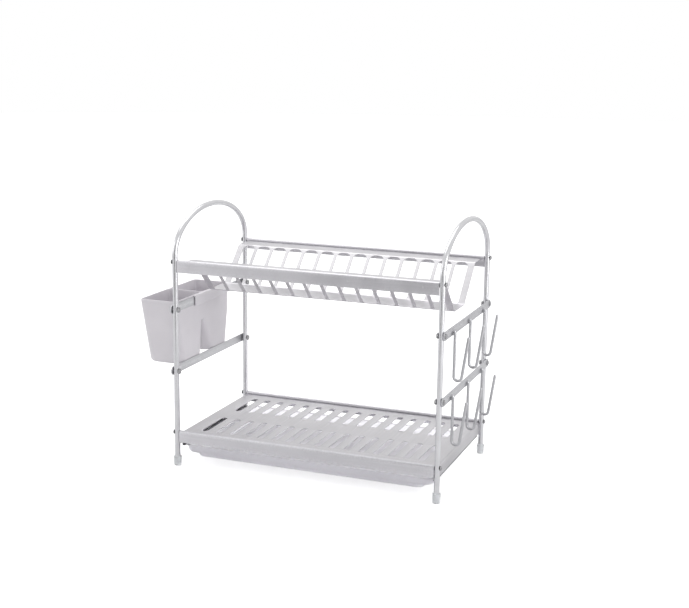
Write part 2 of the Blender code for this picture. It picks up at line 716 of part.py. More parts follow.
placed("plate_tray", plate_tray_mesh(), sheet_finish, (0, 0, UPPER_RAIL_TOP - SHEET_DROP))
placed("lower_shelf", lower_shelf_mesh(), sheet_finish, (0, 0, SHELF_TOP))
placed("drip_tray", drip_tray_mesh(), drip_plastic, (0, 0, RIM_UNDER))
holder_spot = (-BAR_OUTER_X - FIT_GAP, 0, HOLDER_BOTTOM_Z)
placed("cutlery_holder", holder_mesh(), white_plastic, holder_spot)

# The origin is put under the middle of the rack's whole outline.
bpy.context.view_layer.update()
reach = []
for piece in bpy.data.objects:
    if piece.type == "MESH":
        reach += [(piece.matrix_world @ vertex.co).x for vertex in piece.data.vertices]
RACK.location.x = -(min(reach) + max(reach)) / 2
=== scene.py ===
"""The looks of a two-tier dish drying rack: bent tubes, drawn rails, slotted sheets, wire hooks,
a drip tray that slides out and a cutlery holder that lifts off. Lengths are in metres."""

import math

import bmesh
import bpy
from mathutils import Matrix, Vector


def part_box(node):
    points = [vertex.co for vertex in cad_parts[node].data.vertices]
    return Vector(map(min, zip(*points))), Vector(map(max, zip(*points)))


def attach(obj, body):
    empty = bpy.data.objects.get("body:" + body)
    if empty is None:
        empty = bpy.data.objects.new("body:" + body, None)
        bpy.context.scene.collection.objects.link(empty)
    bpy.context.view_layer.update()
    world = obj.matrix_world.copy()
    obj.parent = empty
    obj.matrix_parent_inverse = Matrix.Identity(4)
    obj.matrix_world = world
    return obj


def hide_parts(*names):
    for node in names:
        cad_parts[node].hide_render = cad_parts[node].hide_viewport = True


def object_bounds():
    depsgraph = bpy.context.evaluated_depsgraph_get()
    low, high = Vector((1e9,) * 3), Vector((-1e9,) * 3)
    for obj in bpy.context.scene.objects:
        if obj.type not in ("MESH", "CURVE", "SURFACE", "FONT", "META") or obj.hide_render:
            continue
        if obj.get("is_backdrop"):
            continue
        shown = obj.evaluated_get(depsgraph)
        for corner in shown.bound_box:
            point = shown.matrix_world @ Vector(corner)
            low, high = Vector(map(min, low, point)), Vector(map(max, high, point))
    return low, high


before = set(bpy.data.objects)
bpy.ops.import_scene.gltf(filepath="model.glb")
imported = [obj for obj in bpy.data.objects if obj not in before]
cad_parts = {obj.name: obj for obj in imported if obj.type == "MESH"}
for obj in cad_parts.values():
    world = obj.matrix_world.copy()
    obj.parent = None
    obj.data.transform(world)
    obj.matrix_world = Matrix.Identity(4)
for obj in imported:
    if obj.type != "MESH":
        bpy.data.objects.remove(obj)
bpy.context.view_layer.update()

# The end frames say where everything is: leg places, tube size and arch height.
ROUND_OF_12 = math.cos(math.pi / 12)
LEFT_LOW, LEFT_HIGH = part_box("end_frame_left")
RIGHT_LOW, RIGHT_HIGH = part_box("end_frame_right")
LEG_X = {"left": (LEFT_LOW.x + LEFT_HIGH.x) / 2, "right": (RIGHT_LOW.x + RIGHT_HIGH.x) / 2}
MIDDLE_X = (LEG_X["left"] + LEG_X["right"]) / 2
TUBE_RADIUS = (RIGHT_HIGH.x - RIGHT_LOW.x) / 2 / ROUND_OF_12
LEG_Y = (RIGHT_HIGH.y - RIGHT_LOW.y) / 2 - TUBE_RADIUS * ROUND_OF_12
ARCH_TOP = RIGHT_HIGH.z - TUBE_RADIUS * ROUND_OF_12
ARCH_RISE = 0.064
LEG_FOOT = RIGHT_LOW.z
TUBE_WALL = 0.001

# Shapes of single pieces.
PORT_RADIUS = 0.003
RAIL_HEIGHT = 0.018
RAIL_STRIP = 0.0016
LEDGE_THICKNESS = 0.0014
LEDGE_REACH = 0.008
CRIMP_PLACES = (-0.175, -0.067, 0.067, 0.175)
CRIMP_BELOW_PORT = 0.0052
CRIMP_RADIUS = 0.0016
CRIMP_DEPTH = 0.0004
SHEET = 0.0012
TRAY_SLOTS = 14
TRAY_RIB = 0.0053
TRAY_END_RIB = 0.010
TRAY_TOP_CORNER = 0.006
TRAY_LOW_CORNER = 0.004
TROUGH_HALF_WIDTH = 0.0245
SHELF_SLOTS = 16
SHELF_SLOT_WIDTH = 0.009
SHELF_SLOT_SPAN = 0.340
SHELF_SLOT_INNER = 0.020
SHELF_SLOT_OUTER = 0.092
SHELF_CORNER = 0.003
WIRE_RADIUS = 0.0021
NECK_RADIUS = 0.0026
HOOK_BEND = 0.0056
HOOK_SLANT = math.radians(8.2)
HOOK_TIP_BELOW_BAR = 0.0068
TRAY_RIM = 0.0028
TRAY_END_RIM = 0.0015
TRAY_STEP_DROP = 0.0098
TRAY_STEP_X = 0.015
TRAY_STEP_Y = 0.008
TRAY_TAPER = 0.0015
TRAY_WALL = 0.0016
TRAY_CORNER = 0.015
TRAY_BODY_CORNER = 0.010
CUP_WALL = 0.0018
CUP_RIM_CORNER = 0.005
CUP_BASE_CORNER = 0.018
CUP_ROUND = 0.005
CUP_DRAFT = 0.0025
FIRST_LEAN = 0.013
SECOND_LEAN = 0.022
WEB_HEIGHT = 0.043
TAB_FROM_FRONT = 0.055
TAB_LENGTH = 0.108
TAB_DROP = 0.0142
BAR_THICKNESS = 0.0018
FIT_GAP = 0.0003
SCREW_HEAD = {"radius": 0.0034, "height": 0.0022, "shank": 0.0016, "length": 0.020}
BOLT_HEAD = {"radius": 0.0038, "height": 0.0018, "shank": 0.0019, "length": 0.0121}
NUT_RADIUS = 0.0041
NUT_HEIGHT = 0.0028
NUT_HOLE = 0.0022
NUT_THREAD_DEPTH = 0.0015
SHELF_SLOT_CORNER = 0.0042
SHEET_OUTLINE_CORNER = 0.0015
SLOT_ARCH_CORNER = 0.0078
SLOT_FOOT_CORNER = 0.0028

# How brightly the room, the floor and the floor seen through plastic glow.
ROOM = 0.88
FLOOR_GLOW = 0.62
GLOW_THROUGH_PLASTIC = 0.55


# ---- Small tools for shapes ----


def circle(radius, sides):
    turns = [2 * math.pi * k / sides for k in range(sides)]
    return [(radius * math.cos(t), radius * math.sin(t)) for t in turns]


def arc(centre, radius, start, end, steps):
    turns = [math.radians(start + (end - start) * k / steps) for k in range(steps + 1)]
    return [(centre[0] + radius * math.cos(t), centre[1] + radius * math.sin(t)) for t in turns]


def dressed(mesh, crease=38.0):
    """Turns faces outward and shades a mesh smooth up to its creases."""
    bm = bmesh.new()
    bm.from_mesh(mesh)
    bmesh.ops.recalc_face_normals(bm, faces=bm.faces)
    bm.to_mesh(mesh)
    bm.free()
    mesh.shade_smooth()
    mesh.set_sharp_from_angle(angle=math.radians(crease))
    return mesh


def with_lay(mesh, lays):
    """Stores which way the metal was drawn: the third number of each lay runs along it."""
    if "lay" in mesh.attributes:
        mesh.attributes.remove(mesh.attributes["lay"])
    held = mesh.attributes.new("lay", "FLOAT_VECTOR", "POINT")
    held.data.foreach_set("vector", [c for lay in lays for c in lay])
    return mesh


def lay_along(mesh, axis):
    """Lays drawn along X, Y or Z, straight from where each point is."""
    turned = {"X": (1, 2, 0), "Y": (0, 2, 1), "Z": (0, 1, 2)}[axis]
    return with_lay(mesh, [[v.co[k] for k in turned] for v in mesh.vertices])


def loft(name, rings, lays=None, closed=False, crease=38.0):
    """Joins rings of points into one skin, capped at both ends unless it closes on itself."""
    count = len(rings[0])
    points = [tuple(p) for ring in rings for p in ring]
    faces = []
    pairs = list(range(len(rings) - 1)) + ([len(rings) - 1] if closed else [])
    for r in pairs:
        one, other = r * count, ((r + 1) % len(rings)) * count
        for k in range(count):
            n = (k + 1) % count
            faces.append((one + k, one + n, other + n, other + k))
    if not closed:
        faces.append(tuple(range(count)))
        faces.append(tuple((len(rings) - 1) * count + k for k in range(count)))
    mesh = bpy.data.meshes.new(name)
    mesh.from_pydata(points, [], faces)
    if lays:
        with_lay(mesh, [p for ring in lays for p in ring])
    return dressed(mesh, crease)


def swept(path, section, across, sizes=None):
    """Rings of a section carried along a flat path, and their lays."""
    rings, lays, run = [], [], 0.0
    for k, point in enumerate(path):
        before, after = path[max(k - 1, 0)], path[min(k + 1, len(path) - 1)]
        along = (after - before).normalized()
        side = along.cross(across)
        run += (point - before).length
        size = sizes[k] if sizes else 1.0
        rings.append([point + side * (a * size) + across * (b * size) for a, b in section])
        lays.append([(a, b, run) for a, b in section])
    return rings, lays


def turned(name, profile, sides=40, crease=38.0):
    """A piece turned on a lathe about Z, from (radius, height) pairs."""
    rings = [[(x, y, z) for x, y in circle(max(r, 1e-5), sides)] for r, z in profile]
    return loft(name, rings, rings, crease=crease)


def evaluated(work, name):
    """A work object's mesh with its modifiers applied. The object is put away."""
    bpy.context.view_layer.update()
    graph = bpy.context.evaluated_depsgraph_get()
    made = bpy.data.meshes.new_from_object(work.evaluated_get(graph))
    made.name = name
    bpy.data.objects.remove(work)
    return made


def bench(mesh):
    work = bpy.data.objects.new("work", mesh)
    bpy.context.scene.collection.objects.link(work)
    return work


def combined(mesh, steps, name):
    """The mesh after a list of (operation, other mesh) steps."""
    work = bench(mesh)
    tools = []
    for operation, other in steps:
        tool = bench(other)
        cut = work.modifiers.new("cut", "BOOLEAN")
        cut.operation = operation
        cut.object = tool
        tools.append(tool)
    made = evaluated(work, name)
    for tool in tools:
        bpy.data.objects.remove(tool)
    return made


def evened(mesh, name):
    """Lets large flat faces keep flat shading right up to their rounded edges."""
    work = bench(mesh)
    even = work.modifiers.new("even", "WEIGHTED_NORMAL")
    even.keep_sharp = True
    even.weight = 100
    return evaluated(work, name)


def rounded_ring(centre, half, corners, grow, steps=6):
    """Points round a rectangle whose four corners each have a radius, grown outward by grow.
    Corners go (+,+), (-,+), (-,-), (+,-)."""
    ring = []
    for quarter, (sx, sy) in enumerate(((1, 1), (-1, 1), (-1, -1), (1, -1))):
        radius = max(corners[quarter] + grow, 1e-5)
        x = centre[0] + sx * (half[0] + grow - radius)
        y = centre[1] + sy * (half[1] + grow - radius)
        ring += arc((x, y), radius, 90 * quarter, 90 * quarter + 90, steps)
    return ring


def block(low, high, name):
    corners = [(low[1], low[2]), (high[1], low[2]), (high[1], high[2]), (low[1], high[2])]
    return loft(name, [[(x, y, z) for y, z in corners] for x in (low[0], high[0])])


# ---- Bent sheet ----


class Fold:
    """A sheet's side view: straight runs joined by round bends, measured along its upper face."""

    def __init__(self, corners, radii):
        self.runs = []
        self.bends = []
        self.length = 0.0
        here = Vector(corners[0])
        for before, corner, after, radius in zip(corners, corners[1:], corners[2:], radii):
            one = (Vector(before) - Vector(corner)).normalized()
            two = (Vector(after) - Vector(corner)).normalized()
            half = one.angle(two) / 2
            start = Vector(corner) + one * (radius / math.tan(half))
            end = Vector(corner) + two * (radius / math.tan(half))
            middle = Vector(corner) + (one + two).normalized() * (radius / math.sin(half))
            self._straight(here, start)
            self._bend(start, end, middle, radius, math.pi - 2 * half)
            here = end
        self._straight(here, Vector(corners[-1]))

    def _straight(self, start, end):
        size = (end - start).length
        self.runs.append(("straight", self.length, size, start, (end - start).normalized()))
        self.length += size

    def _bend(self, start, end, middle, radius, turn):
        arm, last = start - middle, end - middle
        if arm.x * last.y - arm.y * last.x < 0:
            turn = -turn
        size = radius * abs(turn)
        self.runs.append(("bend", self.length, size, middle, (arm, turn)))
        self.bends.append((self.length, self.length + size))
        self.length += size

    def at(self, u):
        """The place at distance u and the upward normal there."""
        for kind, first, size, origin, rest in self.runs:
            if u <= first + size or first + size >= self.length - 1e-9:
                break
        if kind == "straight":
            return origin + rest * (u - first), Vector((-rest.y, rest.x))
        arm, turn = rest
        angle = turn * (u - first) / size
        c, s = math.cos(angle), math.sin(angle)
        spoke = Vector((arm.x * c - arm.y * s, arm.x * s + arm.y * c))
        ahead = Vector((-spoke.y, spoke.x)) * (1 if turn > 0 else -1)
        return origin + spoke, Vector((-ahead.y, ahead.x)).normalized()


def pressed_sheet(name, fold, outline, slots, place, cuts_per_bend=8, edge=0.00035):
    """A slotted sheet with rolled-over edges. It is cut out flat, as (distance along the fold,
    distance across), and then folded. outline and slots are (centre, half, corners)."""
    bm = bmesh.new()
    turns = [math.pi / 6 * k for k in range(4)]
    rims = [(edge * (1 - math.sin(t)), -edge * (1 - math.cos(t))) for t in turns]
    levels = rims + [(away, -SHEET - drop) for away, drop in reversed(rims)]
    faces_up, faces_down = [], []
    for number, (centre, half, corners) in enumerate([outline, *slots]):
        sign = -1 if number == 0 else 1
        loops = []
        for away, height in levels:
            ring = rounded_ring(centre, half, corners, sign * away)
            loops.append([bm.verts.new((u, v, height)) for u, v in ring])
        for one, other in zip(loops, loops[1:]):
            for k in range(len(one)):
                n = (k + 1) % len(one)
                bm.faces.new((one[k], one[n], other[n], other[k]))
        for loop, held in ((loops[0], faces_up), (loops[-1], faces_down)):
            held += [bm.edges.get((loop[k], loop[(k + 1) % len(loop)])) for k in range(len(loop))]
    for held in (faces_up, faces_down):
        bmesh.ops.triangle_fill(bm, edges=held, use_beauty=True, normal=(0, 0, 1))
    for start, end in fold.bends:
        for k in range(cuts_per_bend + 1):
            u = start + (end - start) * k / cuts_per_bend
            whole = bm.verts[:] + bm.edges[:] + bm.faces[:]
            across = {"plane_co": (u, 0, 0), "plane_no": (1, 0, 0), "dist": 1e-7}
            bmesh.ops.bisect_plane(bm, geom=whole, **across)
    bm.verts.index_update()
    lays = [(v.co.z, v.co.x, v.co.y) for v in bm.verts]
    for vertex in bm.verts:
        u, across, height = vertex.co
        spot, normal = fold.at(u)
        vertex.co = place(spot + normal * height, across)
    mesh = bpy.data.meshes.new(name)
    bm.to_mesh(mesh)
    bm.free()
    with_lay(mesh, lays)
    return evened(dressed(mesh, 40), name)


# ---- The rack's own pieces ----


def bent_tube(x):
    """One end frame: two legs and a half-ellipse arch in one hollow tube."""
    spring = ARCH_TOP - ARCH_RISE
    legs = [LEG_FOOT + (spring - LEG_FOOT) * k / 12 for k in range(12)]
    path = [Vector((x, -LEG_Y, z)) for z in legs]
    for k in range(73):
        turn = math.pi * (1 - k / 72)
        path.append(Vector((x, LEG_Y * math.cos(turn), spring + ARCH_RISE * math.sin(turn))))
    path += [Vector((x, LEG_Y, z)) for z in reversed(legs)]
    across = Vector((1, 0, 0))
    outer, outer_lays = swept(path, circle(TUBE_RADIUS, 32), across)
    inner, inner_lays = swept(path, circle(TUBE_RADIUS - TUBE_WALL, 32), across)
    return loft("bent_tube", outer + inner[::-1], outer_lays + inner_lays[::-1], closed=True)


def foot_cap(low, high):
    """A soft clear cup with a rounded foot, a waist line and an eased mouth."""
    outer = (high.x - low.x) / 2 / ROUND_OF_12
    inner = TUBE_RADIUS + FIT_GAP
    tall = high.z - low.z
    profile = [(1e-5, 0.0004), (outer * 0.42, 0.0004), (outer * 0.48, 0.0)]
    profile += arc((outer - 0.0024, 0.0022), 0.0022, -90, 0, 8)
    profile += [(outer - 0.0002, tall * 0.34), (outer - 0.0004, tall * 0.38)]
    profile += [(outer - 0.0001, tall * 0.42), (outer, tall * 0.6)]
    profile += arc((outer - 0.0005, tall - 0.0005), 0.0005, 0, 90, 4)
    profile += arc((inner + 0.0004, tall - 0.0004), 0.0004, 90, 180, 4)
    profile += [(inner, 0.0036), (inner - 0.0008, 0.0031), (1e-5, 0.003)]
    return turned("foot_cap", profile)


def rail(half_length):
    """A drawn rail: a screw port on top, a flat face with crimp marks and a ledge for the sheet."""
    face, low = -PORT_RADIUS, PORT_RADIUS - RAIL_HEIGHT
    back, under = face + RAIL_STRIP, -PORT_RADIUS - LEDGE_THICKNESS
    ease = 0.0004
    outline = arc((face + ease, low + ease), ease, 180, 270, 4)
    outline += arc((back - ease, low + ease), ease, 270, 360, 4)
    outline += arc((back + 0.0006, under - 0.0006), 0.0006, 180, 90, 4)
    outline += arc((LEDGE_REACH - ease, under + ease), ease, 270, 360, 4)
    outline += arc((LEDGE_REACH - ease, -PORT_RADIUS - ease), ease, 0, 90, 4)
    outline += arc((0.0021, -0.0026), 0.0004, 270, 180, 4)
    outline += arc((0, 0), PORT_RADIUS, -56, 180, 26)
    rings = [[(x, y, z) for y, z in outline] for x in (-half_length, half_length)]
    bar = loft("rail_bar", rings)
    ball = (CRIMP_RADIUS**2 + CRIMP_DEPTH**2) / (2 * CRIMP_DEPTH)
    dents = []
    for x in CRIMP_PLACES:
        reach = [math.radians(-90 + 12 * k) for k in range(16)]
        shape = [(ball * math.cos(t), ball * math.sin(t)) for t in reach[1:]]
        dent = turned("dent", shape, sides=36)
        spot = Matrix.Translation((x, face - ball + CRIMP_DEPTH, -CRIMP_BELOW_PORT))
        dent.transform(spot)
        dents.append(("DIFFERENCE", dent))
    cut = combined(bar, dents, "rail")
    return evened(dressed(lay_along(cut, "X"), 42), "rail")


def flat_bar(low, high):
    """A flat crossbar with round ends and eased edges."""
    thick, half_y, half_z = high.x - low.x, (high.y - low.y) / 2, (high.z - low.z) / 2
    ease = 0.00045
    steps = [(math.pi / 2) * k / 4 for k in range(5)]
    near = [(ease * (math.sin(t) - 1), ease * (1 - math.cos(t))) for t in steps]
    levels = near + [(grow, thick - out) for grow, out in reversed(near)]
    rings = []
    for grow, x in levels:
        ring = rounded_ring((0, 0), (half_y, half_z), (half_z,) * 4, grow, steps=14)
        rings.append([(x, y, z) for y, z in ring])
    mesh = lay_along(loft("flat_bar", rings), "Y")
    return evened(mesh, "flat_bar")


def wire_hook(drop):
    """Bent wire: a riveted peg through the bar, a straight shaft, a round bend and an open arm."""
    shaft = BAR_THICKNESS + FIT_GAP + WIRE_RADIUS
    path = [(-0.0001, 0), (FIT_GAP, 0), (shaft - NECK_RADIUS, 0)]
    path += arc((shaft - NECK_RADIUS, -NECK_RADIUS), NECK_RADIUS, 90, 0, 10)[1:]
    slant = math.degrees(HOOK_SLANT)
    path += arc((shaft + HOOK_BEND, HOOK_BEND - drop), HOOK_BEND, 180, 360 - slant, 24)
    last = path[-1]
    rise = -HOOK_TIP_BELOW_BAR - last[1]
    tip = (last[0] + rise * math.tan(HOOK_SLANT), last[1] + rise)
    line = Vector((tip[0] - last[0], 0, tip[1] - last[1])).normalized()
    points = [Vector((x, 0, z)) for x, z in path]
    end = Vector((tip[0], 0, tip[1]))
    sizes = [1.0] * len(points)
    for k in range(7):
        turn = math.pi / 2 * k / 6
        points.append(end - line * WIRE_RADIUS * (1 - math.sin(turn)))
        sizes.append(max(math.cos(turn), 0.02))
    rings, lays = swept(points, circle(WIRE_RADIUS, 24), Vector((0, 1, 0)), sizes)
    return loft("wire_hook", rings, lays, crease=50)


def peg_head():
    """The peened end of a hook's peg on the inner side of the bar."""
    dome = arc((0, 0), 1.0, 0, 90, 8)
    profile = [(0.0021, 0.0004), (0.0026, 0.0)]
    profile += [(0.0027 * c, -0.0009 * s) for c, s in dome]
    return turned("peg_head", profile, sides=28)


def cross_recess(width, depth):
    """Two tapered wedges crossed, for cutting a driver's recess into a head."""
    wedges = []
    for turn in (0, math.pi / 2):
        rings = []
        for scale, z in ((0.45, -depth), (1.0, 0.001), (1.0, 0.004)):
            x, y = width * scale, width * 0.17 * (0.6 + 0.4 * scale)
            rings.append([(x, y, z), (-x, y, z), (-x, -y, z), (x, -y, z)])
        wedge = loft("wedge", rings)
        wedge.transform(Matrix.Rotation(turn, 4, "Z"))
        wedges.append(wedge)
    return wedges


def domed_head(name, radius, height, shank, length):
    """A low domed head above Z = 0 with a cross recess, and its shank below."""
    profile = [(1e-5, -length), (shank * 0.7, -length), (shank, -length + 0.0006)]
    profile += [(shank, 0.0), (radius - 0.0002, 0.0), (radius, 0.0002)]
    profile += [(radius, height * 0.3)]
    profile += [(radius * c, height * (0.3 + 0.7 * s)) for c, s in arc((0, 0), 1.0, 0, 90, 12)[1:]]
    head = turned("head", profile)
    wedges = cross_recess(radius * 0.5, height * 0.45)
    for wedge in wedges:
        wedge.transform(Matrix.Translation((0, 0, height)))
    cut = combined(head, [("DIFFERENCE", wedge) for wedge in wedges], name)
    return dressed(lay_along(cut, "Z"), 32)


def cap_nut():
    """A domed nut with a round band below the dome."""
    radius, height = NUT_RADIUS, NUT_HEIGHT
    profile = [(NUT_HOLE, -NUT_THREAD_DEPTH), (NUT_HOLE, 0.0), (radius - 0.0002, 0.0)]
    profile += [(radius, 0.0002), (radius, height * 0.45)]
    dome = arc((0, 0), 1.0, 0, 90, 12)[1:]
    profile += [(radius * 0.97 * c, height * (0.5 + 0.5 * s)) for c, s in dome]
    return turned("cap_nut", profile)


def plate_tray():
    """The upper sheet, folded into a trough. Its slots have arched tops between slim ribs."""
    low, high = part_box("plate_tray")
    half_y, end = (high.y - low.y) / 2, (high.x - low.x) / 2
    middle = (low.x + high.x) / 2
    depth = high.z - low.z - SHEET
    run = TROUGH_HALF_WIDTH + depth
    corners = [(-half_y, 0), (-run, 0), (-TROUGH_HALF_WIDTH, -depth)]
    corners += [(-y, z) for y, z in reversed(corners)]
    fold = Fold(corners, (TRAY_TOP_CORNER, TRAY_LOW_CORNER, TRAY_LOW_CORNER, TRAY_TOP_CORNER))
    pitch = (2 * end - TRAY_END_RIB) / TRAY_SLOTS
    top, foot = SLOT_ARCH_CORNER, SLOT_FOOT_CORNER
    slots = []
    for side in (0, 1):
        if side == 0:
            first, last = fold.bends[0][1], fold.bends[1][0]
            corner = (foot, top, top, foot)
        else:
            first, last = fold.bends[2][1], fold.bends[3][0]
            corner = (top, foot, foot, top)
        start, finish = (first - 0.001, last) if side == 0 else (first, last + 0.001)
        for k in range(TRAY_SLOTS):
            left = -end + TRAY_END_RIB / 2 + k * pitch + TRAY_RIB / 2
            right = -end + TRAY_END_RIB / 2 + (k + 1) * pitch - TRAY_RIB / 2
            left = max(left, -end + TRAY_END_RIB)
            right = min(right, end - TRAY_END_RIB)
            centre = ((start + finish) / 2, (left + right) / 2)
            slots.append((centre, ((finish - start) / 2, (right - left) / 2), corner))
    outline = ((fold.length / 2, 0), (fold.length / 2, end), (SHEET_OUTLINE_CORNER,) * 4)

    def place(spot, across):
        return Vector((middle + across, spot.x, high.z + spot.y))

    return pressed_sheet("pressed_plate_tray", fold, outline, slots, place)


def lower_shelf():
    """The lower sheet with two rows of round-ended slots and a flange folded down at each end."""
    low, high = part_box("lower_shelf")
    half_x, half_y = (high.x - low.x) / 2, (high.y - low.y) / 2
    middle, drop = (low.x + high.x) / 2, low.z - high.z
    corners = [(-half_x, drop), (-half_x, 0), (half_x, 0), (half_x, drop)]
    fold = Fold(corners, (SHELF_CORNER, SHELF_CORNER))
    pitch = SHELF_SLOT_SPAN / (SHELF_SLOTS - 1)
    half = (SHELF_SLOT_WIDTH / 2, (SHELF_SLOT_OUTER - SHELF_SLOT_INNER) / 2)
    slots = []
    for row in (-1, 1):
        across = row * (SHELF_SLOT_OUTER + SHELF_SLOT_INNER) / 2
        for k in range(SHELF_SLOTS):
            along = fold.length / 2 - SHELF_SLOT_SPAN / 2 + k * pitch
            slots.append(((along, across), half, (SHELF_SLOT_CORNER,) * 4))
    outline = ((fold.length / 2, 0), (fold.length / 2, half_y), (SHEET_OUTLINE_CORNER,) * 4)

    def place(spot, across):
        return Vector((middle + spot.x, across, high.z + spot.y))

    return pressed_sheet("pressed_lower_shelf", fold, outline, slots, place)


def runner(low, high, side):
    """A plastic channel with eased edges, open towards the middle of the rack."""
    wall, ease = 0.0012, 0.00025
    width, tall = high.x - low.x, high.z - low.z
    outer = [(0, 0), (width, 0), (width, tall), (0, tall), (0, tall - wall)]
    outer += [(width - wall, tall - wall), (width - wall, wall), (0, wall)]
    outline = []
    for k, corner in enumerate(outer):
        before, after = Vector(outer[k - 1]), Vector(outer[(k + 1) % len(outer)])
        here = Vector(corner)
        one, two = (before - here).normalized(), (after - here).normalized()
        outline += [here + one * ease, here + (one + two) * ease * 0.29, here + two * ease]
    rings = []
    for y in (low.y, high.y):
        across = [(p.x if side > 0 else width - p.x, p.y) for p in outline]
        rings.append([(low.x + a, y, low.z + b) for a, b in across])
    return lay_along(loft("runner", rings), "Y")


def drip_tray():
    """A shallow basin with a rolled rim, a step all round and soft corners."""
    low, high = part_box("drip_tray")
    middle = (low.x + high.x) / 2
    half_x, half_y = (high.x - low.x) / 2, (high.y - low.y) / 2
    rim_under = high.z - TRAY_WALL
    floor = low.z - rim_under
    inner_x, inner_y = half_x - TRAY_RIM, half_y - TRAY_END_RIM
    step, far = -TRAY_STEP_DROP, TRAY_TAPER + TRAY_STEP_X
    corners = [(-TRAY_RIM, 0), (0, 0), (TRAY_TAPER, step), (TRAY_STEP_X, step)]
    corners += [(far, floor), (far + 0.03, floor)]
    fold = Fold(corners, (0.0012, 0.0030, 0.0024, 0.0032))
    stops = [0.0, fold.length]
    for start, end in fold.bends:
        stops += [start + (end - start) * k / 7 for k in range(8)]
    rings = []
    for u in sorted(stops):
        (inset, z), _ = fold.at(u)
        share = min(max(inset / TRAY_STEP_X, 0), 1)
        inset_y = inset - share * (TRAY_STEP_X - TRAY_STEP_Y)
        if inset < 0:
            inset_y = inset * TRAY_END_RIM / TRAY_RIM
        radius = TRAY_CORNER + (TRAY_BODY_CORNER - TRAY_CORNER) * share
        radius = max(radius - max(inset - far, 0) * 0.5, 0.004)
        half = (inner_x - inset, inner_y - inset_y)
        ring = rounded_ring((middle, 0), half, (radius,) * 4, 0, steps=14)
        rings.append([(x, y, rim_under + z) for x, y in ring])
    count = len(rings[0])
    points = [p for ring in rings for p in ring]
    faces = []
    for r in range(len(rings) - 1):
        for k in range(count):
            n = (k + 1) % count
            faces.append((r * count + k, r * count + n, (r + 1) * count + n, (r + 1) * count + k))
    faces.append(tuple((len(rings) - 1) * count + k for k in range(count)))
    mesh = bpy.data.meshes.new("basin")
    mesh.from_pydata(points, [], faces)
    bm = bmesh.new()
    bm.from_mesh(mesh)
    bmesh.ops.recalc_face_normals(bm, faces=bm.faces)
    lowest = min(bm.faces, key=lambda f: f.calc_center_median().z)
    if lowest.normal.z > 0:
        bmesh.ops.reverse_faces(bm, faces=bm.faces)
    bm.to_mesh(mesh)
    bm.free()
    work = bench(mesh)
    wall = work.modifiers.new("wall", "SOLIDIFY")
    wall.thickness = TRAY_WALL
    wall.offset = -1
    wall.use_even_offset = True
    ease = work.modifiers.new("ease", "BEVEL")
    ease.width = 0.0004
    ease.segments = 3
    ease.limit_method = "ANGLE"
    ease.angle_limit = math.radians(60)
    made = evaluated(work, "basin")
    return evened(dressed(lay_along(made, "X"), 45), "basin")


def cup(front_top, front_low, back, inset, floor, rim, kink, depth):
    """One cup of the holder, or its hollow: square-shouldered at the rim, round at the base."""
    rounding = CUP_ROUND - inset
    turns = [math.radians(90) * k / 6 for k in range(7)]
    levels = [(floor + rounding * (1 - math.sin(t)), rounding * (1 - math.cos(t))) for t in turns]
    levels = levels[::-1]
    base = levels[-1][0]
    levels += [(base + (kink - base) * k / 6, 0) for k in range(1, 7)] + [(rim, 0)]
    rings = []
    for z, extra in levels:
        share = min((z - floor) / (kink - floor), 1.0)
        front = front_low + (front_top - front_low) * share
        draft = CUP_DRAFT * (1 - (z - floor) / (rim - floor))
        within = inset + extra
        corner = CUP_BASE_CORNER + (CUP_RIM_CORNER - CUP_BASE_CORNER) * share - within
        low_x, low_y = -depth + draft + within, front + within
        high_x, high_y = -within, back - within
        centre = ((low_x + high_x) / 2, (low_y + high_y) / 2)
        half = ((high_x - low_x) / 2, (high_y - low_y) / 2)
        ring = rounded_ring(centre, half, (max(corner, 0.001),) * 4, 0, steps=12)
        rings.append([(x, y, z) for x, y in ring])
    return loft("cup", rings)


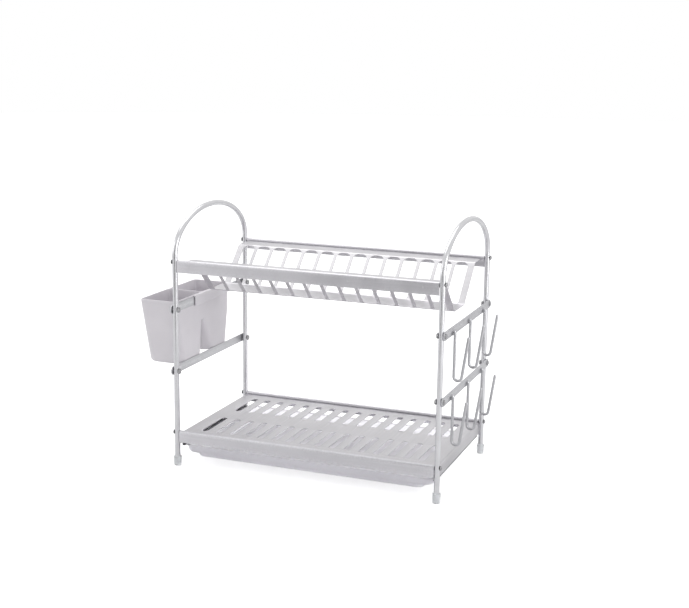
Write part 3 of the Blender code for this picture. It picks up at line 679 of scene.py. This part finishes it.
def cutlery_holder():
    """Two cups moulded together, with a web between them and a long tab over the bar."""
    low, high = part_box("cutlery_holder")
    tall = high.z - low.z
    reach = BAR_THICKNESS + 2 * FIT_GAP
    against = high.x - reach - CUP_WALL
    depth = against - low.x
    front, back = low.y, high.y
    divider = (front + back) / 2
    web = tall - WEB_HEIGHT
    near, far = divider + CUP_WALL / 2, divider - CUP_WALL / 2
    kink = tall - 2 * CUP_WALL
    first = (front, front + FIRST_LEAN, near)
    second = (far, divider + SECOND_LEAN, back)
    body = cup(*first, 0, 0, tall, kink, depth)
    other = cup(*second, 0, 0, tall, web, depth)
    band_low = (-depth + CUP_DRAFT, divider - CUP_BASE_CORNER, web)
    band = block(band_low, (0, divider + CUP_BASE_CORNER, tall), "web")
    hollows = [
        cup(*first, CUP_WALL, CUP_WALL, tall + CUP_WALL, kink, depth),
        cup(*second, CUP_WALL, CUP_WALL, tall + CUP_WALL, web, depth),
    ]
    tab_top = high.z - low.z - 0.0003
    outline = [(-CUP_WALL / 2, tab_top - CUP_WALL), (reach, tab_top - CUP_WALL)]
    tab_end = tab_top - CUP_WALL - TAB_DROP
    outline += [(reach, tab_end), (reach + CUP_WALL, tab_end)]
    outline += [(reach + CUP_WALL, tab_top), (-CUP_WALL / 2, tab_top)]
    tab_front = front + TAB_FROM_FRONT
    ends = (tab_front, tab_front + TAB_LENGTH)
    tab = loft("tab", [[(x, y, z) for x, z in outline] for y in ends])
    steps = [("UNION", other), ("UNION", band), ("UNION", tab)]
    steps += [("DIFFERENCE", hollow) for hollow in hollows]
    mesh = combined(body, steps, "holder")
    mesh.transform(Matrix.Translation((against, 0, low.z)))
    work = bench(mesh)
    mould = work.modifiers.new("mould", "REMESH")
    mould.mode = "VOXEL"
    mould.voxel_size = 0.0008
    soften = work.modifiers.new("soften", "SMOOTH")
    soften.factor = 0.5
    soften.iterations = 5
    made = evaluated(work, "moulded_holder")
    return dressed(lay_along(made, "Z"), 75)


# ---- Shared surface effects ----


def wire_up(tree, source, target):
    tree.links.new(source, target)


def put(tree, kind, values=(), **settings):
    """A node with its settings and input values, by input name or number."""
    made = tree.nodes.new(kind)
    for key, value in settings.items():
        setattr(made, key, value)
    for key, value in dict(values).items():
        if hasattr(value, "links"):
            tree.links.new(value, made.inputs[key])
        else:
            made.inputs[key].default_value = value
    return made


def start_group(name, inputs, outputs):
    """A node group with named sockets. inputs and outputs are (name, kind, value) rows."""
    tree = bpy.data.node_groups.new(name, "ShaderNodeTree")
    for label, kind, value in inputs:
        socket = tree.interface.new_socket(label, in_out="INPUT", socket_type=f"NodeSocket{kind}")
        if value is not None:
            socket.default_value = value
    for label, kind in outputs:
        tree.interface.new_socket(label, in_out="OUTPUT", socket_type=f"NodeSocket{kind}")
    return tree, tree.nodes.new("NodeGroupInput"), tree.nodes.new("NodeGroupOutput")


def sums(tree, operation, one, two=None):
    values = {0: one} if two is None else {0: one, 1: two}
    return put(tree, "ShaderNodeMath", values, operation=operation).outputs[0]


def spread(tree, value, low, high, to_low, to_high):
    """A value moved from one range to another, softly at both ends."""
    values = {"Value": value, 1: low, 2: high, 3: to_low, 4: to_high}
    made = put(tree, "ShaderNodeMapRange", values, interpolation_type="SMOOTHSTEP")
    return made.outputs[0]


def drawn_lines_group():
    """Fine lines left by drawing or rolling, with broader streaks among them."""
    tree, given, out = start_group(
        "drawn_lines",
        [("Lay", "Vector", None), ("Fineness", "Float", 5000.0), ("Stretch", "Float", 60.0)],
        [("Lines", "Float"), ("Streaks", "Float")],
    )
    along = sums(tree, "DIVIDE", given.outputs["Fineness"], given.outputs["Stretch"])
    scale = put(
        tree,
        "ShaderNodeCombineXYZ",
        {0: given.outputs["Fineness"], 1: given.outputs["Fineness"], 2: along},
    )
    values = {0: given.outputs["Lay"], 1: scale.outputs[0]}
    stretched = put(tree, "ShaderNodeVectorMath", values, operation="MULTIPLY")
    place = stretched.outputs[0]
    fine = put(tree, "ShaderNodeTexNoise", {"Vector": place, "Scale": 1.0, "Detail": 3.0})
    broad = put(tree, "ShaderNodeTexNoise", {"Vector": place, "Scale": 0.12, "Detail": 2.0})
    wire_up(tree, fine.outputs[0], out.inputs["Lines"])
    wire_up(tree, broad.outputs[0], out.inputs["Streaks"])
    return tree


def blotches_group():
    """Broad uneven patches, from anodising, handling or moulding."""
    tree, given, out = start_group(
        "blotches",
        [("Lay", "Vector", None), ("Per metre", "Float", 40.0), ("Contrast", "Float", 0.3)],
        [("Patches", "Float")],
    )
    values = {"Vector": given.outputs["Lay"], "Scale": given.outputs["Per metre"], "Detail": 4.0}
    noise = put(tree, "ShaderNodeTexNoise", {**values, "Roughness": 0.55, "Distortion": 0.4})
    low = sums(tree, "SUBTRACT", 0.5, given.outputs["Contrast"])
    high = sums(tree, "ADD", 0.5, given.outputs["Contrast"])
    wire_up(tree, spread(tree, noise.outputs[0], low, high, 0.0, 1.0), out.inputs["Patches"])
    return tree


def drying_marks_group():
    """Faint rings and dots where drops of water have dried."""
    tree, given, out = start_group(
        "drying_marks",
        [("Lay", "Vector", None), ("Per metre", "Float", 55.0), ("Amount", "Float", 0.5)],
        [("Marks", "Float")],
    )
    wobble = put(tree, "ShaderNodeTexNoise", {"Vector": given.outputs["Lay"], "Scale": 220.0})
    push = put(
        tree,
        "ShaderNodeVectorMath",
        {0: wobble.outputs["Color"], 1: (0.004, 0.004, 0.004)},
        operation="MULTIPLY",
    )
    values = {0: given.outputs["Lay"], 1: push.outputs[0]}
    spots = put(tree, "ShaderNodeVectorMath", values, operation="ADD")
    cells = put(
        tree,
        "ShaderNodeTexVoronoi",
        {"Vector": spots.outputs[0], "Scale": given.outputs["Per metre"], "Randomness": 1.0},
    )
    distance = cells.outputs["Distance"]
    outside = spread(tree, distance, 0.20, 0.24, 1.0, 0.0)
    inside = spread(tree, distance, 0.15, 0.20, 0.0, 1.0)
    ring = sums(tree, "MULTIPLY", outside, inside)
    chosen = put(tree, "ShaderNodeSeparateColor", {0: cells.outputs["Color"]}).outputs[0]
    share = sums(tree, "LESS_THAN", chosen, given.outputs["Amount"])
    wire_up(tree, sums(tree, "MULTIPLY", ring, share), out.inputs["Marks"])
    return tree


def worn_edges_group():
    """Where hands and dishes rub: outer edges, broken up so that they aren't even."""
    tree, given, out = start_group(
        "worn_edges",
        [("Lay", "Vector", None), ("Strength", "Float", 0.5)],
        [("Wear", "Float")],
    )
    shape = tree.nodes.new("ShaderNodeNewGeometry")
    edges = spread(tree, shape.outputs["Pointiness"], 0.52, 0.62, 0.0, 1.0)
    values = {"Vector": given.outputs["Lay"], "Scale": 350.0, "Detail": 4.0}
    breaks = put(tree, "ShaderNodeTexNoise", values)
    broken = spread(tree, breaks.outputs[0], 0.35, 0.65, 0.2, 1.0)
    worn = sums(tree, "MULTIPLY", edges, broken)
    wire_up(tree, sums(tree, "MULTIPLY", worn, given.outputs["Strength"]), out.inputs["Wear"])
    return tree


def moulded_skin_group():
    """A moulded plastic skin: a fine even grain with slow swells under it."""
    tree, given, out = start_group(
        "moulded_skin",
        [("Lay", "Vector", None), ("Per metre", "Float", 1800.0)],
        [("Grain", "Float"), ("Swells", "Float")],
    )
    values = {"Vector": given.outputs["Lay"], "Scale": given.outputs["Per metre"], "Detail": 3.0}
    grain = put(tree, "ShaderNodeTexNoise", values)
    swell_scale = sums(tree, "DIVIDE", given.outputs["Per metre"], 40.0)
    swells = put(tree, "ShaderNodeTexNoise", {"Vector": given.outputs["Lay"], "Scale": swell_scale})
    wire_up(tree, grain.outputs[0], out.inputs["Grain"])
    wire_up(tree, swells.outputs[0], out.inputs["Swells"])
    return tree


GROUPS = {
    made.name: made
    for made in (
        drawn_lines_group(),
        blotches_group(),
        drying_marks_group(),
        worn_edges_group(),
        moulded_skin_group(),
    )
}


# ---- Finishes ----


def start_finish(name):
    """A new material with its shader and the lay of the piece."""
    made = bpy.data.materials.new(name)
    made.use_nodes = True
    tree = made.node_tree
    shader = tree.nodes["Principled BSDF"]
    lay = put(tree, "ShaderNodeAttribute", attribute_name="lay", attribute_type="GEOMETRY")
    return made, tree, shader, lay.outputs["Vector"]


def effect(tree, name, **values):
    made = put(tree, "ShaderNodeGroup", node_tree=GROUPS[name])
    for key, value in values.items():
        socket = made.inputs[key.replace("_", " ")]
        if hasattr(value, "links"):
            tree.links.new(value, socket)
        else:
            socket.default_value = value
    return made.outputs


def tinted(tree, share, one, two):
    """A colour between two, by a share."""
    made = put(tree, "ShaderNodeMix", data_type="RGBA")
    tree.links.new(share, made.inputs[0])
    made.inputs[6].default_value = (*one, 1)
    made.inputs[7].default_value = (*two, 1)
    return made.outputs[2]


def over(tree, share, under, colour):
    """A plain colour laid over another by a share."""
    made = put(tree, "ShaderNodeMix", data_type="RGBA")
    tree.links.new(share, made.inputs[0])
    tree.links.new(under, made.inputs[6])
    made.inputs[7].default_value = (*colour, 1)
    return made.outputs[2]


def bumped(tree, shader, height, distance):
    made = put(tree, "ShaderNodeBump", {"Height": height, "Strength": 1.0, "Distance": distance})
    tree.links.new(made.outputs[0], shader.inputs["Normal"])


def metal_finish(name, dark, light, worn, rough, fineness, stretch, marks, grain_depth):
    """Drawn or rolled metal: lines along its lay, uneven sheen, dried drops and bright edges."""
    made, tree, shader, lay = start_finish(name)
    lines = effect(tree, "drawn_lines", Lay=lay, Fineness=fineness, Stretch=stretch)
    patches = effect(tree, "blotches", Lay=lay, Per_metre=28.0, Contrast=0.28)["Patches"]
    drops = effect(tree, "drying_marks", Lay=lay, Per_metre=48.0, Amount=marks)["Marks"]
    wear = effect(tree, "worn_edges", Lay=lay, Strength=0.6)["Wear"]
    streaks = sums(tree, "MULTIPLY", lines["Streaks"], 0.6)
    blend = sums(tree, "ADD", streaks, sums(tree, "MULTIPLY", patches, 0.4))
    colour = tinted(tree, spread(tree, blend, 0.25, 0.75, 0.0, 1.0), dark, light)
    colour = over(tree, sums(tree, "MULTIPLY", drops, 0.22), colour, worn)
    colour = over(tree, wear, colour, worn)
    tree.links.new(colour, shader.inputs["Base Color"])
    low, high = rough
    fine = sums(tree, "MULTIPLY", lines["Lines"], 0.5)
    sheen = sums(tree, "ADD", fine, sums(tree, "MULTIPLY", patches, 0.5))
    value = spread(tree, sheen, 0.2, 0.8, low, high)
    value = sums(tree, "ADD", value, sums(tree, "MULTIPLY", drops, 0.10))
    value = sums(tree, "SUBTRACT", value, sums(tree, "MULTIPLY", wear, 0.08))
    tree.links.new(value, shader.inputs["Roughness"])
    shader.inputs["Metallic"].default_value = 1.0
    bumped(tree, shader, lines["Lines"], grain_depth)
    return made


def plastic_finish(name, dark, light, scuff, rough, grain, grain_depth, **sockets):
    """Moulded plastic: a fine skin, slow swells, faint drying marks and scuffed edges."""
    made, tree, shader, lay = start_finish(name)
    skin = effect(tree, "moulded_skin", Lay=lay, Per_metre=grain)
    patches = effect(tree, "blotches", Lay=lay, Per_metre=22.0, Contrast=0.3)["Patches"]
    drops = effect(tree, "drying_marks", Lay=lay, Per_metre=60.0, Amount=0.25)["Marks"]
    wear = effect(tree, "worn_edges", Lay=lay, Strength=0.5)["Wear"]
    colour = tinted(tree, patches, dark, light)
    colour = over(tree, sums(tree, "MULTIPLY", drops, 0.15), colour, scuff)
    colour = over(tree, wear, colour, scuff)
    tree.links.new(colour, shader.inputs["Base Color"])
    low, high = rough
    value = spread(tree, skin["Grain"], 0.3, 0.7, low, high)
    value = sums(tree, "ADD", value, sums(tree, "MULTIPLY", patches, 0.06))
    tree.links.new(value, shader.inputs["Roughness"])
    height = sums(tree, "ADD", sums(tree, "MULTIPLY", skin["Grain"], 0.3), skin["Swells"])
    bumped(tree, shader, height, grain_depth)
    for socket, value in sockets.items():
        shader.inputs[socket.replace("_", " ")].default_value = value
    return made


FINISHES = {
    "tube": metal_finish(
        "satin_tube_aluminium", (0.68, 0.68, 0.70), (0.76, 0.76, 0.78), (0.88, 0.88, 0.90),
        (0.15, 0.26), 5200.0, 90.0, 0.10, 0.00002,
    ),
    "rail": metal_finish(
        "drawn_rail_aluminium", (0.66, 0.65, 0.68), (0.71, 0.70, 0.73), (0.84, 0.83, 0.86),
        (0.38, 0.50), 4200.0, 110.0, 0.10, 0.00002,
    ),
    "bar": metal_finish(
        "flat_bar_aluminium", (0.56, 0.56, 0.58), (0.63, 0.63, 0.65), (0.80, 0.80, 0.82),
        (0.28, 0.42), 4200.0, 70.0, 0.12, 0.00002,
    ),
    "wire": metal_finish(
        "hook_wire_aluminium", (0.48, 0.48, 0.50), (0.56, 0.56, 0.58), (0.78, 0.78, 0.80),
        (0.20, 0.32), 5200.0, 60.0, 0.10, 0.00002,
    ),
    "sheet": metal_finish(
        "rolled_tray_aluminium", (0.60, 0.59, 0.61), (0.66, 0.65, 0.67), (0.80, 0.79, 0.82),
        (0.34, 0.46), 2600.0, 120.0, 0.16, 0.00002,
    ),
    "steel": metal_finish(
        "bright_fastener_steel", (0.34, 0.34, 0.35), (0.46, 0.46, 0.47), (0.74, 0.74, 0.74),
        (0.14, 0.26), 6000.0, 4.0, 0.10, 0.00001,
    ),
    "holder": plastic_finish(
        "white_holder_plastic", (0.70, 0.675, 0.71), (0.75, 0.725, 0.76), (0.84, 0.82, 0.85),
        (0.34, 0.46), 1500.0, 0.00012,
    ),
    "basin": plastic_finish(
        "frosted_basin_plastic", (0.88, 0.87, 0.90), (0.93, 0.92, 0.95), (0.97, 0.97, 0.98),
        (0.30, 0.42), 1700.0, 0.00010, Transmission_Weight=0.7, IOR=1.35,
    ),
    "cap": plastic_finish(
        "clear_cap_rubber", (0.78, 0.79, 0.80), (0.86, 0.87, 0.88), (0.92, 0.92, 0.92),
        (0.24, 0.40), 1900.0, 0.00008, Transmission_Weight=0.75, IOR=1.42,
    ),
    "runner": plastic_finish(
        "grey_runner_plastic", (0.10, 0.10, 0.11), (0.16, 0.16, 0.17), (0.30, 0.30, 0.31),
        (0.42, 0.58), 1600.0, 0.00008,
    ),
}


# ---- Putting the pieces in place ----


def add(name, mesh, finish, body, nodes, matrix=None):
    """A piece with its finish, riding on a body and standing for its CAD nodes."""
    made = bpy.data.objects.new(name, mesh)
    bpy.context.scene.collection.objects.link(made)
    if not mesh.materials:
        mesh.materials.append(FINISHES[finish])
    if matrix is not None:
        made.matrix_world = matrix
    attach(made, body)
    if nodes:
        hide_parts(*nodes)
    return made


def middle_of(node):
    low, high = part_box(node)
    return (low + high) / 2


def outward(spot, side):
    """Stands a lathe piece on its side so that its head points away from the rack."""
    turn = math.pi / 2 if side == "right" else -math.pi / 2
    return Matrix.Translation(spot) @ Matrix.Rotation(turn, 4, "Y")


SIDES = ("left", "right")
ENDS = ("front", "rear")
LEVELS = ("lower", "upper")
OUT = {"left": -1, "right": 1}

screw = domed_head("rail_screw_head", **SCREW_HEAD)
bolt = domed_head("bar_bolt_head", **BOLT_HEAD)
nut = cap_nut()
peg = peg_head()

for side in SIDES:
    tube = bent_tube(LEG_X[side])
    add(f"tube_{side}", tube, "tube", "rack", [f"end_frame_{side}"])
    low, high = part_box(f"drip_tray_runner_{side}")
    channel = runner(low, high, OUT[side])
    add(f"runner_{side}", channel, "runner", "rack", [f"drip_tray_runner_{side}"])
    for end in ENDS:
        cap_node = f"foot_cap_{end}_{side}"
        low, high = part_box(cap_node)
        spot = Matrix.Translation(((low.x + high.x) / 2, (low.y + high.y) / 2, low.z))
        cap = foot_cap(low, high)
        add(f"cap_{end}_{side}", cap, "cap", "rack", [cap_node], spot)
        for level in LEVELS:
            where = f"{level}_{end}_{side}"
            place = middle_of(f"rail_screw_{where}")
            face = LEG_X[side] + OUT[side] * (TUBE_RADIUS + FIT_GAP)
            spot = outward((face, place.y, place.z), side)
            node = f"rail_screw_{where}"
            add(f"screw_{where}", screw, "steel", "rack", [node], spot)
            bar_low, bar_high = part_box(f"crossbar_{level}_{side}")
            outer = bar_high.x if side == "right" else bar_low.x
            place = middle_of(f"bar_bolt_{where}")
            spot = outward((outer + OUT[side] * FIT_GAP, place.y, place.z), side)
            node = f"bar_bolt_{where}"
            add(f"bolt_{where}", bolt, "steel", "rack", [node], spot)
            seat = LEG_X[side] - OUT[side] * (TUBE_RADIUS + FIT_GAP)
            inward = "left" if side == "right" else "right"
            spot = outward((seat, place.y, place.z), inward)
            node = f"cap_nut_{where}"
            add(f"nut_{where}", nut, "steel", "rack", [node], spot)
    for level in LEVELS:
        node = f"crossbar_{level}_{side}"
        low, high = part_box(node)
        spot = Matrix.Translation((low.x, 0, (low.z + high.z) / 2))
        bar = flat_bar(low, high)
        add(f"bar_{level}_{side}", bar, "bar", "rack", [node], spot)

low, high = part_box("rail_upper_front")
rail_mesh = rail((high.x - low.x) / 2)
for end in ENDS:
    for level in LEVELS:
        node = f"rail_{level}_{end}"
        low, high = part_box(node)
        turn = Matrix.Rotation(0 if end == "front" else math.pi, 4, "Z")
        leg_y = -LEG_Y if end == "front" else LEG_Y
        port = high.z - PORT_RADIUS
        spot = Matrix.Translation(((low.x + high.x) / 2, leg_y, port)) @ turn
        name = f"drawn_rail_{level}_{end}"
        add(name, rail_mesh, "rail", "rack", [node], spot)

for level in LEVELS:
    bar_low, bar_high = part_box(f"crossbar_{level}_right")
    bar_z = (bar_low.z + bar_high.z) / 2
    for number in (1, 2, 3):
        node = f"cup_hook_{level}_{number}"
        low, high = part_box(node)
        drop = bar_z - low.z - WIRE_RADIUS
        spot = Matrix.Translation((bar_low.x, (low.y + high.y) / 2, bar_z))
        hook = wire_hook(drop)
        add(f"hook_{level}_{number}", hook, "wire", "rack", [node], spot)
        spot = outward((bar_low.x, (low.y + high.y) / 2, bar_z), "right")
        add(f"peg_{level}_{number}", peg, "wire", "rack", [], spot)

add("pressed_tray", plate_tray(), "sheet", "rack", ["plate_tray"])
add("pressed_shelf", lower_shelf(), "sheet", "rack", ["lower_shelf"])
add("basin", drip_tray(), "basin", "drip_tray", ["drip_tray"])
add("twin_cups", cutlery_holder(), "holder", "cutlery_holder", ["cutlery_holder"])


# ---- Floor, light and camera ----


def floor():
    """A wide pale floor, lit from below like a light table, so that shadows stay faint."""
    disc = loft("floor", [[(x, y, z) for x, y in circle(9.0, 96)] for z in (-0.02, 0.0)])
    made = bpy.data.objects.new("floor", disc)
    bpy.context.scene.collection.objects.link(made)
    finish = bpy.data.materials.new("pale_floor")
    finish.use_nodes = True
    tree = finish.node_tree
    shader = tree.nodes["Principled BSDF"]
    spots = tree.nodes.new("ShaderNodeTexCoord")
    lay = spots.outputs["Object"]
    patches = effect(tree, "blotches", Lay=lay, Per_metre=1.5, Contrast=0.4)["Patches"]
    colour = tinted(tree, patches, (0.74, 0.74, 0.745), (0.77, 0.77, 0.775))
    tree.links.new(colour, shader.inputs["Base Color"])
    shader.inputs["Roughness"].default_value = 0.7
    shader.inputs["Specular IOR Level"].default_value = 0.2
    path = tree.nodes.new("ShaderNodeLightPath")
    seen = sums(tree, "MAXIMUM", path.outputs["Is Camera Ray"], path.outputs["Is Transmission Ray"])
    through = sums(tree, "MULTIPLY", path.outputs["Is Transmission Ray"], GLOW_THROUGH_PLASTIC)
    strength = sums(tree, "ADD", through, FLOOR_GLOW)
    glow = put(tree, "ShaderNodeEmission", {"Color": (1, 1, 1, 1), "Strength": strength})
    both = tree.nodes.new("ShaderNodeAddShader")
    tree.links.new(shader.outputs[0], both.inputs[0])
    tree.links.new(glow.outputs[0], both.inputs[1])
    chosen = tree.nodes.new("ShaderNodeMixShader")
    tree.links.new(seen, chosen.inputs[0])
    tree.links.new(shader.outputs[0], chosen.inputs[1])
    tree.links.new(both.outputs[0], chosen.inputs[2])
    tree.links.new(chosen.outputs[0], tree.nodes["Material Output"].inputs[0])
    disc.materials.append(finish)
    made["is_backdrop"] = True


def softbox(name, azimuth, elevation, away, size, brightness, target):
    """A soft light, aimed at the rack. Azimuth 0 is in front and positive to the right."""
    lamp = bpy.data.lights.new(name, "AREA")
    lamp.shape = "RECTANGLE"
    lamp.size, lamp.size_y = size
    lamp.energy = brightness * math.pi * size[0] * size[1]
    made = bpy.data.objects.new(name, lamp)
    bpy.context.scene.collection.objects.link(made)
    a, e = math.radians(azimuth), math.radians(elevation)
    ray = Vector((math.sin(a) * math.cos(e), -math.cos(a) * math.cos(e), math.sin(e)))
    made.location = Vector(target) + ray * away
    made.rotation_euler = ray.to_track_quat("Z", "Y").to_euler()
    made.visible_camera = False


def dark_card(azimuth, width, away, height):
    """A grey card in front, which shows as a soft dark line in the polished tubes."""
    a = math.radians(azimuth)
    ray = Vector((math.sin(a), -math.cos(a), 0))
    side = Vector((math.cos(a), math.sin(a), 0))
    low, high = ray * away - side * width / 2, ray * away + side * width / 2
    mesh = bpy.data.meshes.new("dark_card")
    top = Vector((0, 0, height))
    mesh.from_pydata([low, high, high + top, low + top], [], [(0, 1, 2, 3)])
    made = bpy.data.objects.new("dark_card", mesh)
    bpy.context.scene.collection.objects.link(made)
    finish = bpy.data.materials.new("card_grey")
    finish.use_nodes = True
    shader = finish.node_tree.nodes["Principled BSDF"]
    shader.inputs["Base Color"].default_value = (0.05, 0.05, 0.05, 1)
    shader.inputs["Roughness"].default_value = 1.0
    mesh.materials.append(finish)
    made.visible_camera = False
    made.visible_shadow = False
    made.visible_transmission = False
    made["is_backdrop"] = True


def room():
    """A light grey room for reflections that the camera itself sees as plain white."""
    world = bpy.data.worlds.new("pale_room")
    bpy.context.scene.world = world
    world.use_nodes = True
    tree = world.node_tree
    grey = tree.nodes["Background"]
    grey.inputs[0].default_value = (1.0, 1.0, 1.0, 1)
    grey.inputs[1].default_value = ROOM
    white = put(tree, "ShaderNodeBackground", {"Color": (1, 1, 1, 1), "Strength": 1.0})
    path = tree.nodes.new("ShaderNodeLightPath")
    chosen = tree.nodes.new("ShaderNodeMixShader")
    tree.links.new(path.outputs["Is Camera Ray"], chosen.inputs[0])
    tree.links.new(grey.outputs[0], chosen.inputs[1])
    tree.links.new(white.outputs[0], chosen.inputs[2])
    tree.links.new(chosen.outputs[0], tree.nodes["World Output"].inputs[0])


def camera():
    """Stands in front, a fifth of a turn to the right and a little above the rack."""
    around, above, tilt = math.radians(20.92), math.radians(11.95), math.radians(0.79)
    back = Vector(
        (math.sin(around) * math.cos(above), -math.cos(around) * math.cos(above), math.sin(above))
    )
    right = Vector((math.cos(around), math.sin(around), 0))
    up = back.cross(right)
    level = right * math.cos(tilt) + up * math.sin(tilt)
    upright = up * math.cos(tilt) - right * math.sin(tilt)
    place = Vector((MIDDLE_X + 0.65843, -1.67784, 0.62295))
    lens = bpy.data.cameras.new("camera")
    lens.lens = 64.81
    lens.sensor_width = 36.0
    lens.sensor_fit = "HORIZONTAL"
    lens.clip_start = 0.01
    made = bpy.data.objects.new("camera", lens)
    bpy.context.scene.collection.objects.link(made)
    columns = Matrix((level, upright, back)).transposed().to_4x4()
    made.matrix_world = Matrix.Translation(place) @ columns
    bpy.context.scene.camera = made


centre_of_rack = (MIDDLE_X, 0.0, 0.2)
floor()
room()
softbox("right_strip", 78, 16, 1.5, (0.55, 1.3), 2.9, centre_of_rack)
softbox("top_light", -140, 66, 2.0, (1.9, 1.3), 1.5, centre_of_rack)
softbox("left_fill", -62, 22, 2.0, (0.9, 1.1), 1.1, centre_of_rack)
dark_card(-4, 0.36, 1.05, 1.0)
camera()
bpy.context.scene.view_settings.view_transform = "Standard"

low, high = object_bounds()
